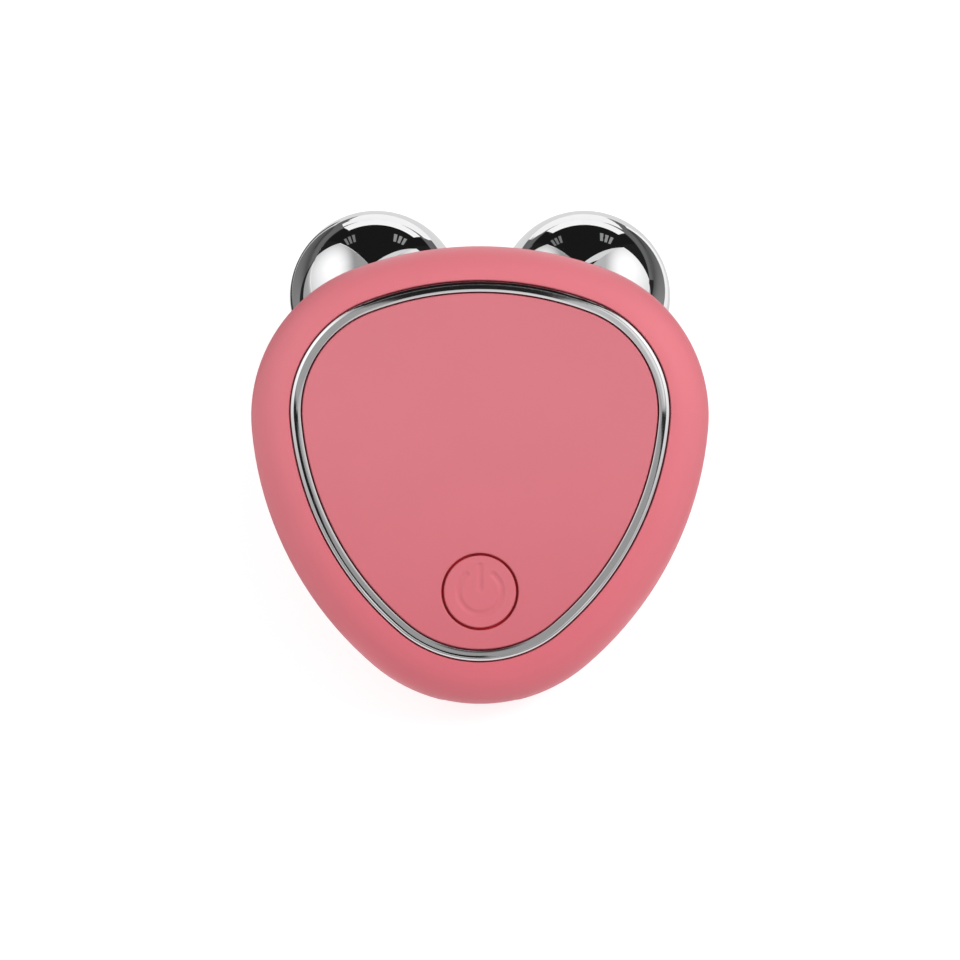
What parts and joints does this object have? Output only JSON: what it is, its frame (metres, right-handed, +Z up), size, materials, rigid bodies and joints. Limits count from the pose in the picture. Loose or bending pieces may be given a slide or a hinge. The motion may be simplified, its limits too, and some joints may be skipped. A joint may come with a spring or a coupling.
{
  "type": "facial toning device",
  "caption": "Pocket facial toning device: a rounded-triangle hand unit with a chrome trim ring, a power button and free-spinning chrome electrode balls on its back.",
  "frame": {"origin": "centre of the bounding box at its base: the surface that the two balls and the back of the tail rest on", "axes": "+Z up from that surface, +Y towards the balls' end, -Y towards the tail with the charging port, +X to the right seen from the front panel with the balls' end up; the front panel leans towards -Y"},
  "size_m": [0.052, 0.0634, 0.036],
  "materials": {
    "shell_pink": "soft satin moulded plastic",
    "panel_pink": "soft satin moulded plastic",
    "button_pink": "soft satin moulded plastic",
    "trim_chrome": "bright plated",
    "screw_steel": "zinc plated",
    "plunger_ivory": "moulded",
    "switch_black": "moulded",
    "board_green": "solder mask",
    "chip_black": "moulded",
    "coil_ferrite": "ferrite and enamelled wire",
    "capacitor_tan": "fired ceramic",
    "led_lens": "clear moulded lens",
    "socket_steel": "drawn steel",
    "tongue_black": "moulded",
    "cell_foil": "pouch foil",
    "pad_grey": "foam",
    "lead_red": "silicone sleeve",
    "lead_black": "silicone sleeve",
    "ball_chrome": "mirror plated",
    "bush_bronze": "sintered bronze",
    "axle_steel": "turned steel",
    "clip_steel": "spring steel",
    "washer_nylon": "moulded",
    "collar_chrome": "bright plated",
    "seal_rubber": "moulded",
    "terminal_brass": "tinned",
    "lead_white": "silicone sleeve"
  },
  "bodies": {
    "handset": {"front_shell": "shell_pink", "rear_shell": "shell_pink", "trim_ring": "trim_chrome", "front_panel": "panel_pink", "case_screws": "screw_steel", "switch_base": "switch_black", "circuit_board": "board_green", "board_screws": "screw_steel", "control_chip": "chip_black", "charging_chip": "chip_black", "step_up_coil": "coil_ferrite", "board_capacitors": "capacitor_tan", "status_leds": "led_lens", "charging_socket_shell": "socket_steel", "charging_socket_tongue": "tongue_black", "battery_cell": "cell_foil", "battery_foam_pad": "pad_grey", "battery_lead_red": "lead_red", "battery_lead_black": "lead_black", "axle_left": "axle_steel", "retaining_clip_left": "clip_steel", "thrust_washer_left": "washer_nylon", "collar_left": "collar_chrome", "seal_ring_left": "seal_rubber", "clamp_washer_left": "screw_steel", "ring_terminal_left": "terminal_brass", "clamp_nut_left": "screw_steel", "electrode_lead_left": "lead_white", "axle_right": "axle_steel", "retaining_clip_right": "clip_steel", "thrust_washer_right": "washer_nylon", "collar_right": "collar_chrome", "seal_ring_right": "seal_rubber", "clamp_washer_right": "screw_steel", "ring_terminal_right": "terminal_brass", "clamp_nut_right": "screw_steel", "electrode_lead_right": "lead_white"},
    "roller_left": {"ball_left": "ball_chrome", "bush_left": "bush_bronze"},
    "roller_right": {"ball_right": "ball_chrome", "bush_right": "bush_bronze"},
    "button": {"power_button": "button_pink", "switch_plunger": "plunger_ivory"}
  },
  "joints": [
    {"name": "roller_left_spin", "type": "hinge", "parent": "handset", "child": "roller_left", "pos_m": [-0.0121, 0.02171, 0.01], "axis": [0.4067, -0.782, 0.4722], "continuous": true},
    {"name": "roller_right_spin", "type": "hinge", "parent": "handset", "child": "roller_right", "pos_m": [0.0121, 0.02171, 0.01], "axis": [-0.4067, -0.782, 0.4722], "continuous": true},
    {"name": "power_button_press", "type": "slide", "parent": "handset", "child": "button", "axis": [0, 0.5281, -0.8492], "range_m": [0, 0.0003], "stiffness_N_per_m": 4000}
  ]
}
